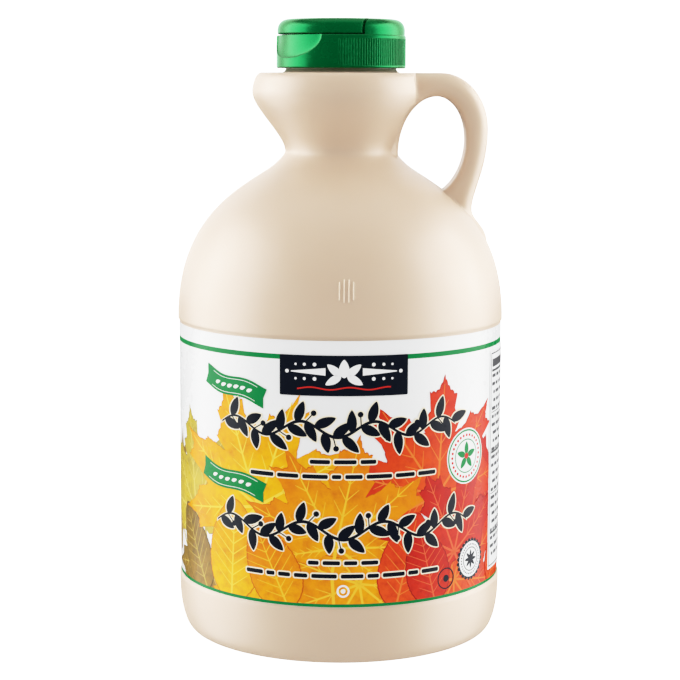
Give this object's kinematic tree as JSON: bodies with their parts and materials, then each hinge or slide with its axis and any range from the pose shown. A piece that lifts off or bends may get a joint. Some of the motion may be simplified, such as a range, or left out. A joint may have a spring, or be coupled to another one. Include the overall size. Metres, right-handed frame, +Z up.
{
  "type": "maple syrup jug",
  "caption": "Round cream plastic syrup jug with a sloping shoulder, a flat finger-loop handle at the neck, a wrap-around label sleeve and a green screw cap with a flip flap.",
  "frame": {"origin": "centre of the base, on the axis of the round body, at the surface that the jug stands on", "axes": "+Z up along the body's axis; +X towards the handle; the front of the label faces -Y"},
  "size_m": [0.1018, 0.1018, 0.1907],
  "materials": {
    "cream_resin": "satin",
    "label_film": "satin",
    "green_cap": "gloss"
  },
  "bodies": {
    "root": {"jug": "cream_resin", "label": "label_film", "cap": "green_cap", "cap_flap": "green_cap"}
  },
  "joints": []
}
